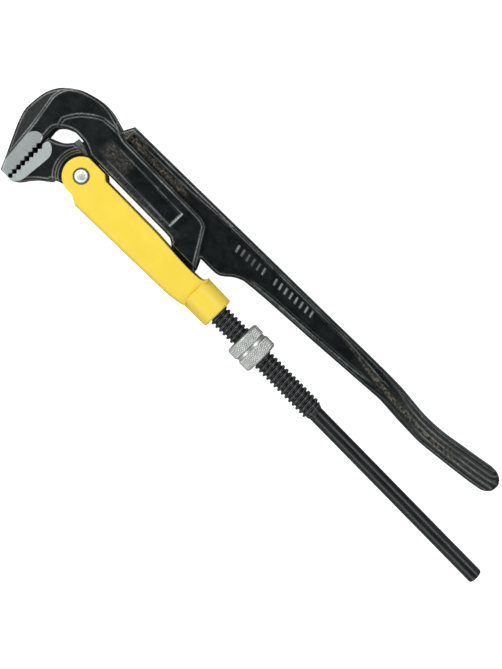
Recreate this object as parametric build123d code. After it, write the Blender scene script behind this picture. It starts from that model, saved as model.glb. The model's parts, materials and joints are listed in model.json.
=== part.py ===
from build123d import *
from math import cos, radians, sin
import os

# Corner pipe wrench (one inch size), lying on its side.  All lengths are in millimetres.
# Design frame: X along the spindle towards its free end, Y towards the long handle,
# Z = 0 in the middle plane of the forgings.  write_parts() moves everything so that the
# origin is the bottom centre of the whole tool.

# ---- driving dimensions ----------------------------------------------------------------
# spindle and adjusting nut
ROD_R = 4.3                  # plain lever end of the spindle
ROD_END_X = 303.4
THREAD_R = 6.2               # crest radius
THREAD_ROOT_R = 4.9
THREAD_PITCH = 2.8
THREAD_START_X = 88.0
THREAD_END_X = 178.4
NUT_R = 10.5
NUT_X = (122.4, 138.2)
NUT_GROOVE_X = (129.0, 131.0)
RUNNING_GAP = 0.08           # radial clearance of every pin and shaft in its bore

# hinge between the foot of the handle and the forked spindle end
HINGE_X = 73.5
HINGE_PIN_R = 2.6
EYE_R = 6.1
TONGUE_HALF = 2.5
FORK_GAP_HALF = 2.65
FORK_SLOT_END_X = 82.6

# bracket (folded sheet) that carries the lower jaw
PIVOT = (1.0, 0.0)           # centre of the jaw rivet, on the spindle axis
SHEET = 2.6
CHANNEL_HALF = 6.3           # half of the clear width between the two side plates
PLATE_END_R = 10.5
BRACKET_TOP_Y = 7.3
EAR_TOP_Y = 9.7              # straight edge of the ear, along the shank
EAR_END_X = 9.1
EAR_FOOT_X = 12.0            # where its sloping end meets the long edge
SLEEVE_X = (87.2, 104.6)
SLEEVE_R = (9.75, 9.5)       # at the channel and at the free end
SLEEVE_ROUND = 1.2
STEP_RUN = 4.2               # the flat sides fall away over this length before the sleeve
STEP_DROP = 2.0
RIM_ROUND = 0.6              # worn edges of the open side
BACK_ROUND = 3.4             # outside bend between side plates and back
RIVET_R = 4.0
RIVET_HEAD_R = 4.6
RIVET_HEAD_HEIGHT = 1.5

# forgings
JAW_HALF = 9.0               # half thickness of both jaws across their ground flanks
HOOK_RIM_HALF = 5.0          # half thickness at the outer rim of the hook
SHANK_HALF = 7.0
SHANK_INNER_Y = 10.45
SHANK_OUTER_Y = 29.8
BOSS_HALF = 6.15
BOSS_R = 9.9
JAW_STEP_R = 15.3
WEB_HALF = 3.0
RIB_HALF = 6.0
PANEL_DEPTH = 1.6

# teeth
TOOTH_PITCH = 3.15
TOOTH_DEPTH = 1.3
TOOTH_COUNT = 8
TOOTH_TOP_Y = -3.2
JAW_TIP_Y = -28.5

OUTER_HALF = CHANNEL_HALF + SHEET


# ---- small helpers ---------------------------------------------------------------------
def slab(edges, low, high):
    """A flat plate with the outline given by the edges, between two heights."""
    face = make_face(edges)
    return Pos(0, 0, low) * extrude(face, amount=high - low, dir=(0, 0, 1))


def plate(edges, half):
    """A flat plate centred on the middle plane."""
    return slab(edges, -half, half)


def loop(*points):
    """The edges of a closed polygon."""
    return Polyline(*points, close=True).edges()


def along_x(radius, start, end):
    """A round bar on the spindle axis."""
    bar = Cylinder(radius, end - start, align=(Align.CENTER, Align.CENTER, Align.MIN))
    return Pos(start, 0, 0) * Rot(0, 90, 0) * bar


def upright(radius, centre, half):
    """A round bar along Z, centred on the middle plane."""
    return Pos(centre[0], centre[1], 0) * Cylinder(radius, 2 * half)


def polar(centre, radius, angle):
    """A point on a circle, by its angle in degrees from +X."""
    return (centre[0] + radius * cos(radians(angle)), centre[1] + radius * sin(radians(angle)))


def tooth_edge(tip_x_top, tip_x_bottom, depth):
    """Zigzag of a jaw face from its inner end down to the jaw tip; depth is signed along X."""
    def tip_x(y):
        share = (TOOTH_TOP_Y - y) / (TOOTH_TOP_Y - JAW_TIP_Y)
        return tip_x_top + (tip_x_bottom - tip_x_top) * share

    points = [(tip_x(TOOTH_TOP_Y), TOOTH_TOP_Y)]
    for i in range(TOOTH_COUNT):
        root_y = TOOTH_TOP_Y - (i + 0.5) * TOOTH_PITCH
        tip_y = root_y - 0.5 * TOOTH_PITCH
        points.append((tip_x(root_y) + depth, root_y))
        points.append((tip_x(tip_y), tip_y))
    return points


# ---- main handle: hook jaw, shank, foot and long handle in one drop forging -------------
HOOK_TIP_X = -25.8
HOOK_THROAT_X = -26.95


def hook_outer():
    """Outer rim of the hook, from the jaw tip round to the head of the handle."""
    return Spline((-32.0, JAW_TIP_Y), (-38.7, -15.0), (-44.6, -2.6), (-46.7, 6.5), (-44.6, 18.8),
                  (-38.0, 28.3), (-27.6, 33.9), (-15.5, 35.9), (-1.6, 32.7))


def hook_inner():
    """Working side of the hook, from the top of the throat down to the jaw tip."""
    zigzag = tooth_edge(HOOK_THROAT_X, HOOK_TIP_X, -TOOTH_DEPTH)
    throat = Spline((-27.0, 9.4), (-27.7, 6.0), (-27.4, 1.6), tangents=((-0.6, -1), (0.3, -1)))
    return [throat, Line((-27.4, 1.6), (-27.6, -0.4)), Line((-27.6, -0.4), zigzag[0]),
            Polyline(*zigzag), Line(zigzag[-1], (HOOK_TIP_X, JAW_TIP_Y))]


def hook_step(start, end):
    """Curved step above the throat where the thick hook meets the thinner shank."""
    return Spline(start, (-15.1, 29.2), (-23.0, 23.1), (-27.9, 15.7), (-28.3, 12.4), end)


def hook():
    tip = Line((HOOK_TIP_X, JAW_TIP_Y), (-32.0, JAW_TIP_Y))
    step = hook_step((-1.6, 30.2), (-27.0, 9.4))
    close = Line((-1.6, 32.7), (-1.6, 30.2))
    rim = plate([hook_outer(), close, step, *hook_inner(), tip], HOOK_RIM_HALF)

    ridge = Spline((-31.6, JAW_TIP_Y), (-34.8, -17.9), (-36.4, -0.1), (-38.4, 13.8), (-38.4, 21.0),
                   (-33.5, 28.4), (-25.0, 32.2), (-15.5, 33.8), (-3.4, 31.4))
    inner_close = Line((-3.4, 31.4), (-3.4, 30.4))
    inner_step = hook_step((-3.4, 30.4), (-27.0, 9.4))
    inner_tip = Line((HOOK_TIP_X, JAW_TIP_Y), (-31.6, JAW_TIP_Y))
    core = plate([ridge, inner_close, inner_step, *hook_inner(), inner_tip], JAW_HALF)
    ridge_edges = core.edges().filter_by(lambda e: e.length > 80 and e.center().Z != 0)
    core = chamfer(ridge_edges, 2.0)
    return rim + core


def shank():
    """Flat bar from the hook to the foot, with the foot sloping back under the handle."""
    throat = Spline((-27.0, 9.0), (-23.9, 11.2), (-17.9, 13.4), (-12.0, 13.4), (-4.0, SHANK_INNER_Y))
    inner = Line((-4.0, SHANK_INNER_Y), (54.0, SHANK_INNER_Y))
    heel = ThreePointArc((54.0, SHANK_INNER_Y), (57.6, 10.0), (60.0, 8.9))
    foot_bottom = Line((60.0, 8.9), (78.3, 8.9))
    foot_side = Line((78.3, 8.9), (67.0, 27.4))
    corner = ThreePointArc((67.0, 27.4), (65.5, 29.1), (63.0, SHANK_OUTER_Y))
    outer = Line((63.0, SHANK_OUTER_Y), (-6.0, SHANK_OUTER_Y))
    inside_hook = Polyline((-6.0, SHANK_OUTER_Y), (-24.0, 26.0), (-31.0, 14.0), (-27.0, 9.0))
    edges = [throat, inner, heel, foot_bottom, foot_side, corner, outer, inside_hook]
    body = plate(edges, SHANK_HALF)
    for side in (1, -1):
        panel = loop((2.0, 24.8), (53.0, 24.2), (53.0, 15.2), (2.0, 15.6))
        low = SHANK_HALF - PANEL_DEPTH if side > 0 else -SHANK_HALF
        body -= slab(panel, low, low + PANEL_DEPTH)
    return body


def foot_tongue():
    """Thin tongue under the foot that carries the eye of the spindle hinge."""
    eye = upright(EYE_R, (HINGE_X, 0), TONGUE_HALF)
    stem = loop((60.0, 9.6), (61.7, 6.6), (68.6, -3.4), (79.3, -2.0), (79.9, 5.6), (79.5, 8.9), (76.9, 14.0),
                (72.0, 16.0))
    hole = upright(HINGE_PIN_R + RUNNING_GAP, (HINGE_X, 0), TONGUE_HALF)
    return plate(stem, TONGUE_HALF) + eye - hole


HEAD_CORNER = (1.5, 38.7)
GRIP_START_OUTER = (200.0, 43.2)
GRIP_START_INNER = (196.0, 29.7)
WEB_NECK = (104.2, 22.6)


def handle_outline():
    """Outline of the long handle with its S-bent grip."""
    top = Line(HEAD_CORNER, GRIP_START_OUTER)
    grip_top = Spline(GRIP_START_OUTER, (222.3, 41.7), (247.3, 44.5), (266.9, 48.4),
                      tangents=((1, 0.02), (1, 0.12)))
    grip_end = Spline((266.9, 48.4), (273.8, 46.8), (276.4, 41.6), (271.6, 34.8),
                      tangents=((1, 0.12), (-1, -0.45)))
    grip_low = Spline((271.6, 34.8), (247.8, 31.1), (223.9, 29.0), GRIP_START_INNER,
                      tangents=((-1, -0.25), (-1, -0.06)))
    low = Line(GRIP_START_INNER, WEB_NECK)
    neck = Spline(WEB_NECK, (98.0, 20.8), (92.0, 15.9), (86.2, 14.2), tangents=((-1, -0.08), (-1, 0)))
    web_low = Line((86.2, 14.2), (76.8, 14.1))
    root = Polyline((76.8, 14.1), (70.0, 16.0), (60.0, 28.0), (-1.6, 28.0), (-1.6, 32.7), HEAD_CORNER)
    return [top, grip_top, grip_end, grip_low, low, neck, web_low, root]


def long_handle():
    web = plate(handle_outline(), WEB_HALF)
    whole = plate(handle_outline(), RIB_HALF)
    outer_rib = loop((-2.0, 31.0), (1.0, 45.0), (196.0, 50.0), (196.0, 39.2), (4.8, 34.8), (4.4, 31.0))
    inner_rib = loop((104.0, 18.0), (200.0, 26.0), (200.0, 33.2), (106.0, 25.8), (104.0, 24.6))
    grip = loop((188.0, 20.0), (290.0, 20.0), (290.0, 60.0), (188.0, 60.0))
    ribs = plate(outer_rib, RIB_HALF) + plate(inner_rib, RIB_HALF) + plate(grip, RIB_HALF)
    return web + (whole & ribs)


def main_handle():
    return hook() + shank() + foot_tongue() + long_handle()


# ---- lower jaw -------------------------------------------------------------------------
LOWER_TOOTH_X = -25.35
SLIDE_END = (8.0, 9.2)       # the face along the shank is relieved to here, so that the jaw can rock


def lower_jaw():
    """Toothed jaw with a thinner boss between the bracket plates and two guide lugs."""
    zigzag = tooth_edge(LOWER_TOOTH_X, LOWER_TOOTH_X, TOOTH_DEPTH)
    start = polar(PIVOT, JAW_STEP_R, 226.0)
    end = polar(PIVOT, JAW_STEP_R, 140.0)
    head = plate([
        Line((-26.1, 1.8), (-25.9, -0.6)),
        Line((-25.9, -0.6), zigzag[0]),
        Polyline(*zigzag),
        Line(zigzag[-1], (LOWER_TOOTH_X, JAW_TIP_Y)),
        Line((LOWER_TOOTH_X, JAW_TIP_Y), (-23.0, JAW_TIP_Y)),
        ThreePointArc((-23.0, JAW_TIP_Y), (-21.0, -26.4), (-19.5, -24.5)),
        Line((-19.5, -24.5), start),
        ThreePointArc(start, polar(PIVOT, JAW_STEP_R, 183.0), end),
        Line(end, (-14.6, 10.1)),
        Spline((-14.6, 10.1), (-17.3, 6.8), (-21.2, 4.1), (-26.1, 1.8)),
    ], JAW_HALF)

    boss = upright(BOSS_R, PIVOT, BOSS_HALF)
    bridge = plate(loop((-16.0, -8.0), start, (-2.6, -9.6), (1.0, -9.0), (8.0, 4.0), SLIDE_END, (1.0, 10.1),
                        (-14.6, 10.1), (-16.0, 6.0)), BOSS_HALF)
    lug = plate([
        Line((-14.6, 10.1), (-14.0, 13.0)),
        ThreePointArc((-14.0, 13.0), (-9.0, 12.3), (-4.2, 10.4)),
        Line((-4.2, 10.4), (-5.4, 9.0)),
        Polyline((-5.4, 9.0), (-13.0, 8.6), (-14.6, 10.1)),
    ], JAW_HALF)
    shank_slot = plate(loop((-20.0, 10.1), (6.0, 10.1), (6.0, 20.0), (-20.0, 20.0)), SHANK_HALF + 0.2)
    bore = upright(RIVET_R + RUNNING_GAP, PIVOT, JAW_HALF)
    return head + boss + bridge + (lug - shank_slot) - bore


# ---- bracket ---------------------------------------------------------------------------
def bracket_side():
    """Side outline of the folded bracket, without its sleeve."""
    low = PIVOT[1] - PLATE_END_R
    ear_x = PIVOT[0] - (PLATE_END_R ** 2 - (EAR_TOP_Y - PIVOT[1]) ** 2) ** 0.5
    return [
        ThreePointArc((PIVOT[0], low), (PIVOT[0] - PLATE_END_R, PIVOT[1]), (ear_x, EAR_TOP_Y)),
        Line((ear_x, EAR_TOP_Y), (EAR_END_X, EAR_TOP_Y)),
        Line((EAR_END_X, EAR_TOP_Y), (EAR_FOOT_X, BRACKET_TOP_Y)),
        Line((EAR_FOOT_X, BRACKET_TOP_Y), (46.0, BRACKET_TOP_Y)),
        Spline((46.0, BRACKET_TOP_Y), (58.0, 6.9), (70.0, 6.3), (84.4, 6.6), tangents=((1, 0), (1, 0.1))),
        ThreePointArc((84.4, 6.6), (86.4, 7.5), (87.2, 9.4)),
        Line((87.2, 9.4), (88.2, 9.4)),
        Line((88.2, 9.4), (88.2, -9.6)),
        TangentArc((74.0, -11.65), (88.2, -9.6), tangent=(1, 0.031)),
        Line((74.0, -11.65), (9.7, -13.65)),
        ThreePointArc((9.7, -13.65), (7.3, -12.0), (4.4, low)),
        Line((4.4, low), (PIVOT[0], low)),
    ]


def side_step():
    """Cutters for the curve in which the flat sides fall away to the sleeve."""
    start = (SLEEVE_X[0] - STEP_RUN, OUTER_HALF)
    end = (SLEEVE_X[0] + 1.2, OUTER_HALF - STEP_DROP)
    above = OUTER_HALF + 1
    curve = TangentArc(start, end, tangent=(1, 0))
    face = make_face([curve, Polyline(end, (end[0], above), (start[0], above), start)])
    cutter = extrude(Plane.XZ * face, 15, both=True)
    return cutter + mirror(cutter, Plane.XY)


def jaw_bracket():
    """Sheet folded into a U-shaped channel and rolled into a sleeve round the spindle."""
    body = plate(bracket_side(), OUTER_HALF)

    def on_face(edge):
        return abs(abs(edge.center().Z) - OUTER_HALF) < 0.01

    open_rim = body.edges().filter_by(lambda e: on_face(e) and e.center().X < 80
                                      and (e.center().Y > 5.5 or e.center().X < 4))
    body = fillet(open_rim, RIM_ROUND)
    back = body.edges().filter_by(lambda e: on_face(e) and e.center().Y < -9.5 and e.center().X > 9.0)
    body = fillet(back, BACK_ROUND)
    body -= side_step()
    cavity = plate(loop((-15, -20), (8.6, -20), (11.2, -11.0), (78, -8.9), (SLEEVE_X[0], -6.7),
                        (SLEEVE_X[0], 20), (-15, 20)), CHANNEL_HALF)
    length = SLEEVE_X[1] - SLEEVE_X[0]
    sleeve = Pos(SLEEVE_X[0] + length / 2, 0, 0) * Rot(0, 90, 0) * Cone(*SLEEVE_R, length)
    sleeve = fillet(sleeve.edges().filter_by(GeomType.CIRCLE).sort_by(Axis.X)[-1], SLEEVE_ROUND)
    body = body - cavity + sleeve
    body -= along_x(THREAD_R + RUNNING_GAP, SLEEVE_X[0] - 2, SLEEVE_X[1] + 2)
    body -= upright(RIVET_R, PIVOT, OUTER_HALF + 1)
    return body


# ---- rivet, spindle, hinge pin and nut --------------------------------------------------
def jaw_rivet():
    """Rivet with a flat dome on each side of the bracket."""
    shank_body = upright(RIVET_R, PIVOT, OUTER_HALF)
    dome_r = (RIVET_HEAD_R ** 2 + RIVET_HEAD_HEIGHT ** 2) / (2 * RIVET_HEAD_HEIGHT)
    ball = Sphere(dome_r)
    keep = Pos(0, 0, dome_r) * Box(4 * RIVET_HEAD_R, 4 * RIVET_HEAD_R, 2 * RIVET_HEAD_HEIGHT)
    dome = Pos(0, 0, -dome_r + RIVET_HEAD_HEIGHT) * (ball & keep)
    near = Pos(PIVOT[0], PIVOT[1], OUTER_HALF) * dome
    far = Pos(PIVOT[0], PIVOT[1], -OUTER_HALF) * Rot(180, 0, 0) * dome
    return shank_body + near + far


def thread_profile():
    """Half section of the threaded length and the plain rod, from the fork to the free end."""
    points = [(SLEEVE_X[0] - 2, 0), (SLEEVE_X[0] - 2, THREAD_ROOT_R)]
    turns = int((THREAD_END_X - THREAD_START_X) / THREAD_PITCH)
    for i in range(turns):
        x = THREAD_START_X + i * THREAD_PITCH
        points += [(x, THREAD_ROOT_R), (x + 0.8, THREAD_R), (x + 1.6, THREAD_R), (x + 2.4, THREAD_ROOT_R)]
    run_out = THREAD_START_X + turns * THREAD_PITCH
    points += [(run_out, THREAD_ROOT_R), (run_out + 1.2, ROD_R), (ROD_END_X - 1.6, ROD_R),
               (ROD_END_X - 0.6, ROD_R - 0.9), (ROD_END_X, ROD_R - 2.6), (ROD_END_X, 0)]
    return points


def spindle():
    """Forked end, threaded length and plain lever rod in one piece."""
    rod = revolve(make_face(loop(*thread_profile())), axis=Axis.X)
    fork_y = EYE_R
    fork = plate(loop((HINGE_X, -fork_y), (SLEEVE_X[0] - 0.6, -fork_y), (SLEEVE_X[0] - 0.6, fork_y),
                      (HINGE_X, fork_y)), CHANNEL_HALF - 0.15)
    fork += upright(fork_y, (HINGE_X, 0), CHANNEL_HALF - 0.15)
    slot = plate(loop((HINGE_X - 20, -10), (FORK_SLOT_END_X, -10), (FORK_SLOT_END_X, 10),
                      (HINGE_X - 20, 10)), FORK_GAP_HALF)
    pin_hole = upright(HINGE_PIN_R, (HINGE_X, 0), CHANNEL_HALF)
    return rod + (fork - slot - pin_hole)


def hinge_pin():
    """Plain pin pressed through both ears of the fork."""
    return upright(HINGE_PIN_R, (HINGE_X, 0), CHANNEL_HALF - 0.2)


def adjusting_nut():
    """Round nut with two gripping bands and a groove between them."""
    low, high = NUT_X
    groove_low, groove_high = NUT_GROOVE_X
    bore = THREAD_R + RUNNING_GAP
    groove_r = NUT_R - 0.7
    section = loop(
        (low + 0.8, bore), (low, bore + 0.8), (low, NUT_R - 1.0), (low + 1.0, NUT_R),
        (groove_low, NUT_R), (groove_low + 0.5, groove_r), (groove_high - 0.5, groove_r),
        (groove_high, NUT_R), (high - 1.0, NUT_R), (high, NUT_R - 1.0), (high, bore + 0.8),
        (high - 0.8, bore))
    return revolve(make_face(section), axis=Axis.X)


# ---- output ----------------------------------------------------------------------------
def build_parts():
    return {
        "main_handle": main_handle(),
        "lower_jaw": lower_jaw(),
        "jaw_bracket": jaw_bracket(),
        "jaw_rivet": jaw_rivet(),
        "spindle": spindle(),
        "spindle_hinge_pin": hinge_pin(),
        "adjusting_nut": adjusting_nut(),
    }


def base_shift(parts):
    """Move from the design frame to the tool's frame: origin at the bottom centre."""
    box = Compound(children=[Compound(children=p.solids()) for p in parts.values()]).bounding_box()
    return Vector(-(box.min.X + box.max.X) / 2, -(box.min.Y + box.max.Y) / 2, -box.min.Z)


def write_parts():
    os.makedirs("parts", exist_ok=True)
    parts = build_parts()
    shift = base_shift(parts)
    for name, part in parts.items():
        export_step(Pos(shift) * part, f"parts/{name}.step")


write_parts()
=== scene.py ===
import json
import math

import bpy
import numpy as np
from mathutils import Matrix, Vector, noise
from mathutils.geometry import delaunay_2d_cdt


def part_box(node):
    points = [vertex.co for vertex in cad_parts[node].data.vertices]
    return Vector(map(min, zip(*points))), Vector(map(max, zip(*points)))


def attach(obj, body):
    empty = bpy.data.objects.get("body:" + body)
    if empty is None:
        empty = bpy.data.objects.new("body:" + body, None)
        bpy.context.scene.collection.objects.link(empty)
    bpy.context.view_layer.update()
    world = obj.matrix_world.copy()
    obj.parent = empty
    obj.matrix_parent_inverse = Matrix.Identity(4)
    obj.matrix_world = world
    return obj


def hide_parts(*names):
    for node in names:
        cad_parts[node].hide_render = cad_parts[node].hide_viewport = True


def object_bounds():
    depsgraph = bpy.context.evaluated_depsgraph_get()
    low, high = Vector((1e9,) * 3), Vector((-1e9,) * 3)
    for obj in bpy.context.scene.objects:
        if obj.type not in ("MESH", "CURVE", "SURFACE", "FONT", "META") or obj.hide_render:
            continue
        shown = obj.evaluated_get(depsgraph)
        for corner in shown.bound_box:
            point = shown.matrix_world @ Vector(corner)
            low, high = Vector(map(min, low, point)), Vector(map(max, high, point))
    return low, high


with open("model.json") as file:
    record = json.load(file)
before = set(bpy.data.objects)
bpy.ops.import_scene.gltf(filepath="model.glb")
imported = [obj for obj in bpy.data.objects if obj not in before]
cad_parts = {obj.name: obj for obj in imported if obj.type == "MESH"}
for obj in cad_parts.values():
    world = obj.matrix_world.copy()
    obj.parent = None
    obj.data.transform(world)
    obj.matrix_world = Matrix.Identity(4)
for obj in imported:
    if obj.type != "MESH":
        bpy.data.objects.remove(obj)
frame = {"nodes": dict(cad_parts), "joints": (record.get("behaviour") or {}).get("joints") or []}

# Corner pipe wrench lying on its side.  Shapes are worked out in the tool's own frame in
# millimetres: X along the spindle to its free end, Y towards the long handle, and Z = 0 in the
# middle plane of the forgings.  The CAD's spindle hinge ties that frame to the row frame.
MM = 0.001
HINGE_X = 73.5
SWING = next(j for j in frame["joints"] if j["name"] == "spindle_swing")
ORIGIN = np.array(SWING["pos_m"]) - (HINGE_X * MM, 0, 0)
CAD_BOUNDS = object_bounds()

PIVOT = np.array((1.0, 0.0))  # jaw rivet
EYE_R = 6.1
PIN_HOLE_R = 2.68
RIVET_HOLE_R = 4.08
TOOTH_PITCH = 3.15
TOOTH_DEPTH = 1.3
TOOTH_COUNT = 8
TOOTH_ROUND = 0.16  # radius on the sides of the teeth
TOOTH_TOP_Y = -3.2
JAW_TIP_Y = -28.5
HOOK_TOOTH_X = (-26.95, -25.8)  # tooth tips of the hook, inner end and jaw tip
LOWER_TOOTH_X = (-25.35, -25.35)
THREAD_PITCH = 2.8

PAD_RISE = 0.16  # width of the step up to a ground pad
PAD_TOP = 9.0  # half thicknesses
HOOK_TOP = 8.7
SHANK_TOP = 7.0
RIB_TOP = 6.0
WEB_TOP = 3.0
TONGUE_TOP = 2.5
JAW_TOP = 8.6
BOSS_TOP = 6.15

LEAST_HALF = 0.4  # no forging gets thinner than this on one side of Z = 0
HANDLE_SEEDS = (3.0, 11.0)  # of the skin on the two sides
JAW_SEEDS = (21.0, 27.0)

LINE_STEP = 0.45  # spacing of outline points
GRID_STEP = 0.62  # spacing of the points inside a forging


# ---- plane geometry ----
def resample(points, step):
    """The same line with its points at equal steps."""
    points = np.asarray(points, float)
    run = np.r_[0, np.cumsum(np.linalg.norm(np.diff(points, axis=0), axis=1))]
    count = max(2, int(round(run[-1] / step)) + 1)
    at = np.linspace(0, run[-1], count)
    return np.column_stack([np.interp(at, run, points[:, k]) for k in (0, 1)])


def smooth(points, step=LINE_STEP):
    """A Catmull-Rom curve through the points."""
    p = np.asarray(points, float)
    p = np.vstack([2 * p[0] - p[1], p, 2 * p[-1] - p[-2]])
    t = np.linspace(0, 1, 16, endpoint=False)[:, None]
    spans = []
    for a, b, c, d in zip(p, p[1:], p[2:], p[3:]):
        bend = (2 * a - 5 * b + 4 * c - d) * t ** 2 + (3 * b - a - 3 * c + d) * t ** 3
        spans.append(0.5 * (2 * b + (c - a) * t + bend))
    return resample(np.vstack(spans + [p[-2:-1]]), step)


def straight(points, step=LINE_STEP):
    """Straight stretches that keep their corners."""
    parts = [resample(pair, step)[:-1] for pair in zip(points, points[1:])]
    return np.vstack(parts + [np.asarray(points[-1:], float)])


def arc(centre, radius, start, end, step=LINE_STEP):
    """Part of a circle, by angles in degrees from +X."""
    count = max(3, int(abs(math.radians(end - start)) * radius / step) + 1)
    angle = np.radians(np.linspace(start, end, count))
    return np.column_stack([centre[0] + radius * np.cos(angle), centre[1] + radius * np.sin(angle)])


def closed(*parts):
    """One loop from lines that follow each other; the last ends where the first starts."""
    return np.vstack([part[:-1] for part in parts])


def circle(centre, radius):
    return arc(centre, radius, 0, 360)[:-1]


def teeth(tip_x, depth):
    """Zigzag of a jaw face from its inner end to the jaw tip; depth is signed along X."""
    index = np.arange(2 * TOOTH_COUNT + 1)
    y = TOOTH_TOP_Y - index * TOOTH_PITCH / 2
    share = (TOOTH_TOP_Y - y) / (TOOTH_TOP_Y - JAW_TIP_Y)
    x = tip_x[0] + (tip_x[1] - tip_x[0]) * share + depth * (index % 2)
    return straight(np.column_stack([x, y]), 0.3)


def offset(points, line):
    """Signed distance from a line: positive on the left of its direction."""
    a, b = line[:-1], line[1:]
    ab = b - a
    length2 = (ab ** 2).sum(1)
    result = np.empty(len(points))
    for first in range(0, len(points), 1500):
        p = points[first:first + 1500, None, :]
        t = np.clip(((p - a) * ab).sum(2) / length2, 0, 1)
        gap = p - (a + t[..., None] * ab)
        square = (gap ** 2).sum(2)
        k = square.argmin(1)
        row = np.arange(len(k))
        gap, near = gap[row, k], ab[k]
        side = np.where(near[:, 0] * gap[:, 1] - near[:, 1] * gap[:, 0] < 0, -1.0, 1.0)
        result[first:first + 1500] = side * np.sqrt(square[row, k])
    return result


def gap_to(points, loop):
    """Distance to a closed loop."""
    return np.abs(offset(points, np.vstack([loop, loop[:1]])))


def inside(points, loop):
    """Which points lie inside a closed loop."""
    x, y = points.T
    result = np.zeros(len(points), bool)
    for (ax, ay), (bx, by) in zip(loop, np.roll(loop, -1, 0)):
        if ay != by:
            crosses = (ay > y) != (by > y)
            result ^= crosses & (x < (bx - ax) * (y - ay) / (by - ay) + ax)
    return result


def ramp(value, low, high):
    """0 below low, 1 above high and a smooth rise between them."""
    t = np.clip((value - low) / (high - low), 0, 1)
    return t * t * (3 - 2 * t)


def band(value, low, high, soft):
    """1 between low and high, with soft ends."""
    return ramp(value, low - soft, low + soft) * (1 - ramp(value, high - soft, high + soft))


def rounding(depth, radius):
    """How far a rounded edge lies below its flat, at a depth inside the outline."""
    t = np.clip(1 - depth / radius, 0, 1)
    return radius * (1 - np.sqrt(1 - t * t))


def bevel(depth, width, drop):
    """How far a bevelled edge lies below its flat, at a depth inside the outline."""
    return drop * np.clip(1 - depth / width, 0, 1) ** 1.15


def anticlockwise(loop):
    x, y = loop.T
    return np.sum(x * np.roll(y, -1) - y * np.roll(x, -1)) > 0


def outward(loop):
    """Unit normals of a closed loop that point away from its inside."""
    along = np.roll(loop, -1, 0) - np.roll(loop, 1, 0)
    normal = np.column_stack([along[:, 1], -along[:, 0]])
    normal /= np.linalg.norm(normal, axis=1)[:, None]
    return normal if anticlockwise(loop) else -normal


def fractal(points, scale, seed, octaves=4):
    """Noise around 0 at points in the plane; scale is the size of its lumps in millimetres."""
    return np.array([noise.fractal((x / scale, y / scale, seed), 0.8, 2.1, octaves)
                     for x, y in points])


# ---- meshes ----
def add_object(name, data):
    """A new object in the scene."""
    made = bpy.data.objects.new(name, data)
    bpy.context.scene.collection.objects.link(made)
    return made


def add_field(mesh, name, values):
    """A value on each vertex, for the materials to read."""
    attribute = mesh.attributes.new(name, "FLOAT", "POINT")
    attribute.data.foreach_set("value", np.asarray(values, np.float32))


def clamp_to(points, node):
    """Keeps points in the tool's millimetres inside the box of a CAD node."""
    low, high = ((np.array(corner) - ORIGIN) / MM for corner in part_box(node))
    return np.clip(points, low, high)


def make_object(name, points, faces, body, slot, materials, index=None, sharp=35, fields=None):
    """A mesh object from points in the tool's millimetres, riding on a CAD body."""
    mesh = bpy.data.meshes.new(name)
    mesh.from_pydata((np.asarray(points) * MM + ORIGIN).tolist(), [], faces)
    for made in materials:
        mesh.materials.append(made)
    if index is not None:
        mesh.polygons.foreach_set("material_index", np.asarray(index, np.int32))
    for field, values in (fields or {}).items():
        add_field(mesh, field, values)
    mesh.polygons.foreach_set("use_smooth", np.ones(len(mesh.polygons), bool))
    mesh.set_sharp_from_angle(angle=math.radians(sharp))
    mesh.update()
    piece = add_object(name, mesh)
    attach(piece, body)
    return piece


def thin_out(points, spacing):
    """Drops points that nearly coincide, keeping the first of each."""
    cell = np.round(points / spacing).astype(int)
    first = np.unique(cell, axis=0, return_index=True)[1]
    return points[np.sort(first)]


def hex_grid(low, high, step):
    """Points on a triangular lattice over a box."""
    rows = np.arange(low[1], high[1], step * math.sqrt(0.75))
    columns = np.arange(low[0], high[0], step)
    x, y = np.meshgrid(columns, rows)
    x = x + (np.arange(len(rows))[:, None] % 2) * step / 2
    return np.column_stack([x.ravel(), y.ravel()])


def ruled(line, distances):
    """Copies of a line moved sideways by each distance."""
    along = np.gradient(line, axis=0)
    normal = np.column_stack([-along[:, 1], along[:, 0]])
    normal /= np.linalg.norm(normal, axis=1)[:, None]
    return np.vstack([line + normal * d for d in distances])


RING_DEPTHS = (0.15, 0.45, 0.85, 1.15, 1.35)  # rows of points inside an outline
SHARP_ANGLE = 38  # of a forging's edges, in degrees


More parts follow.
